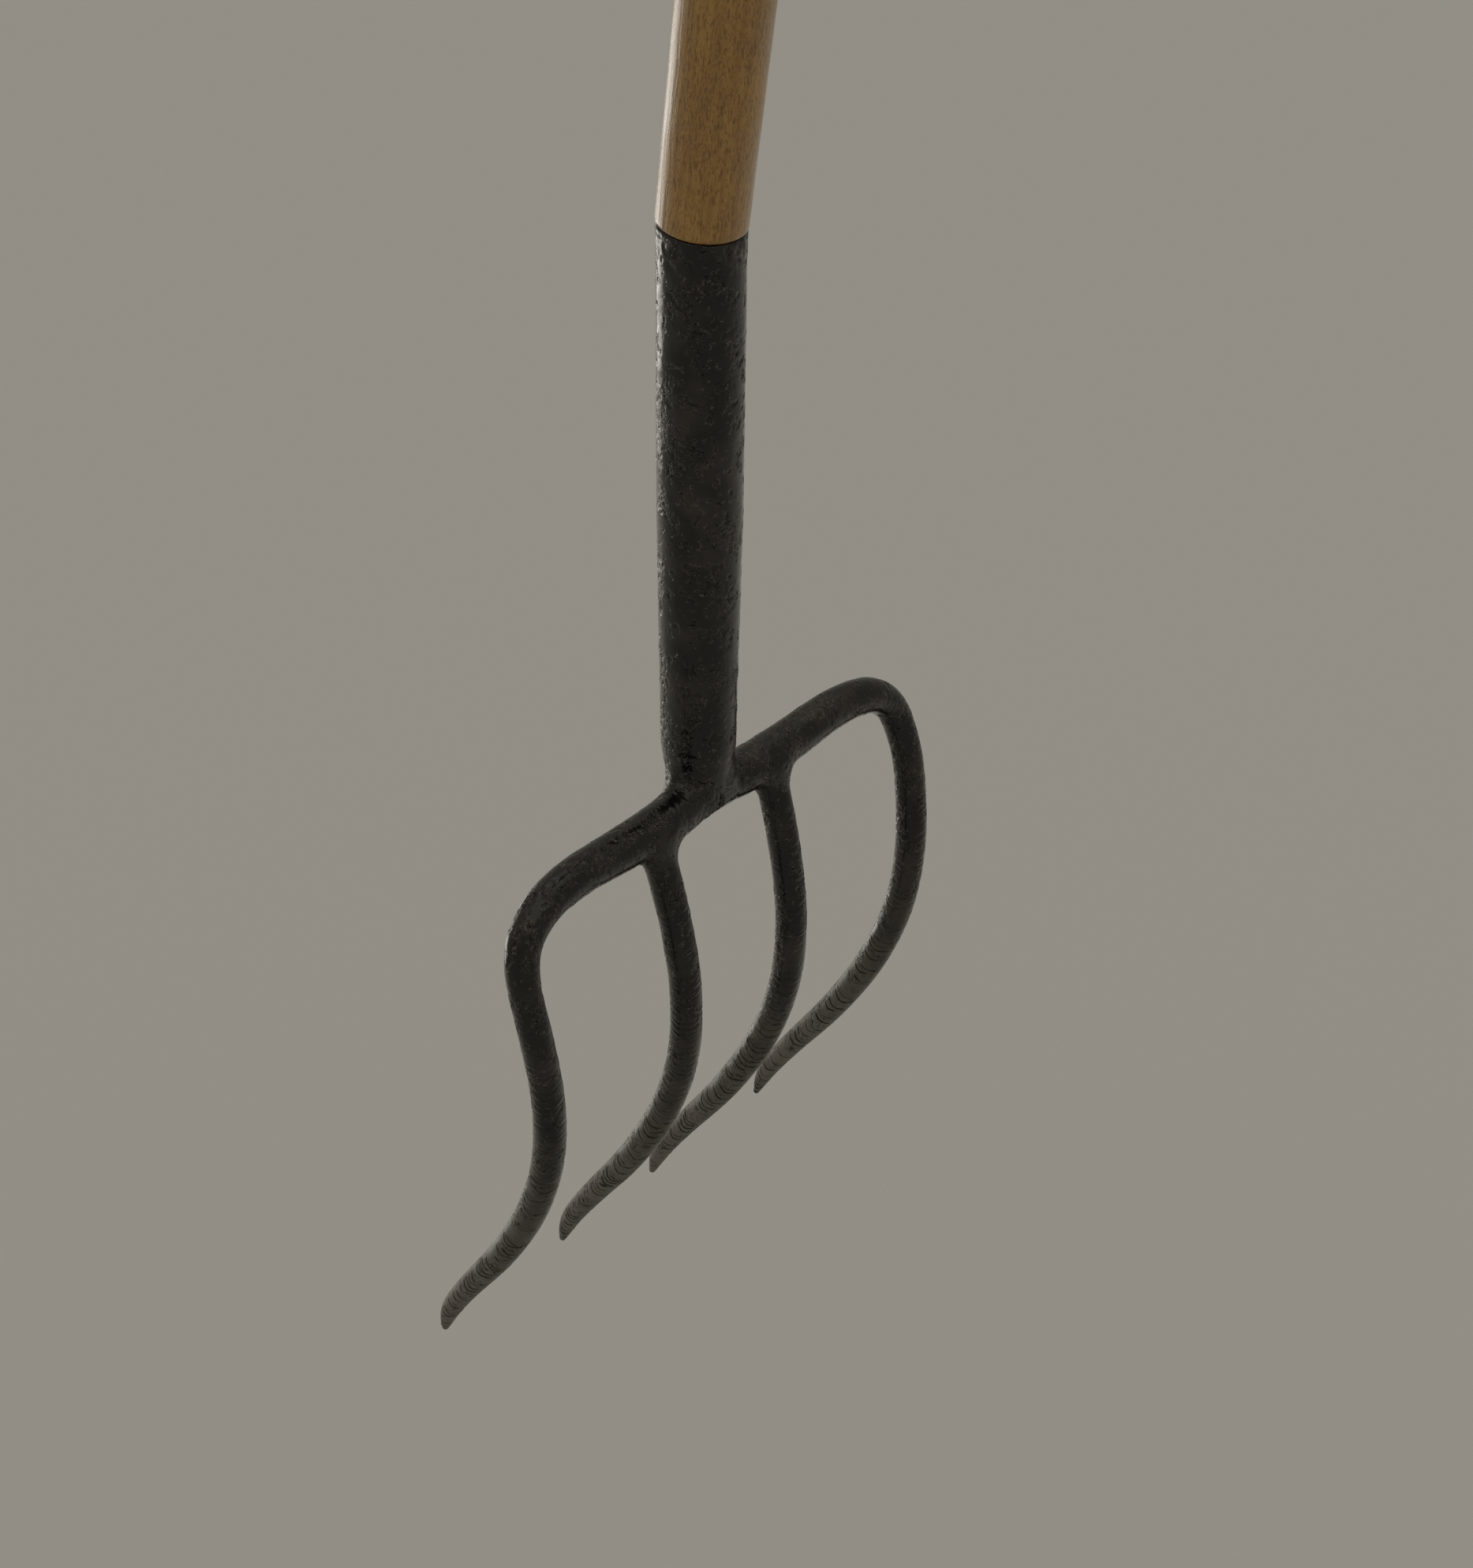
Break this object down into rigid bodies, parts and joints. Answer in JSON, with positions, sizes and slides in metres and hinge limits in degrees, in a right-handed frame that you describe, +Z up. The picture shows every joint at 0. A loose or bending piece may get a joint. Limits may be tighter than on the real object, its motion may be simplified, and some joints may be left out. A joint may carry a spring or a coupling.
{
  "type": "hay fork",
  "caption": "Long-handled hay fork: bent round ash handle in a forged socket, with a shoulder bar turned down into hooked, pointed tines.",
  "frame": {"origin": "on the socket's axis at the crown, just above the shoulder bar", "axes": "+Z up the socket towards the handle, +X across the head to the right tines, +Y to the side that the tips point to"},
  "size_m": [0.2752, 0.2131, 1.6912],
  "materials": {
    "ash_wood": "satin, oiled, fine dark flecks along the grain",
    "forged_steel": "black forge scale, pitted, hammered rings, low sheen",
    "nail_steel": "dark, hammered head"
  },
  "bodies": {
    "root": {"handle": "ash_wood", "socket": "forged_steel", "outer_tine_left": "forged_steel", "outer_tine_right": "forged_steel", "inner_tine_left": "forged_steel", "inner_tine_right": "forged_steel", "handle_nail": "nail_steel"}
  },
  "joints": []
}
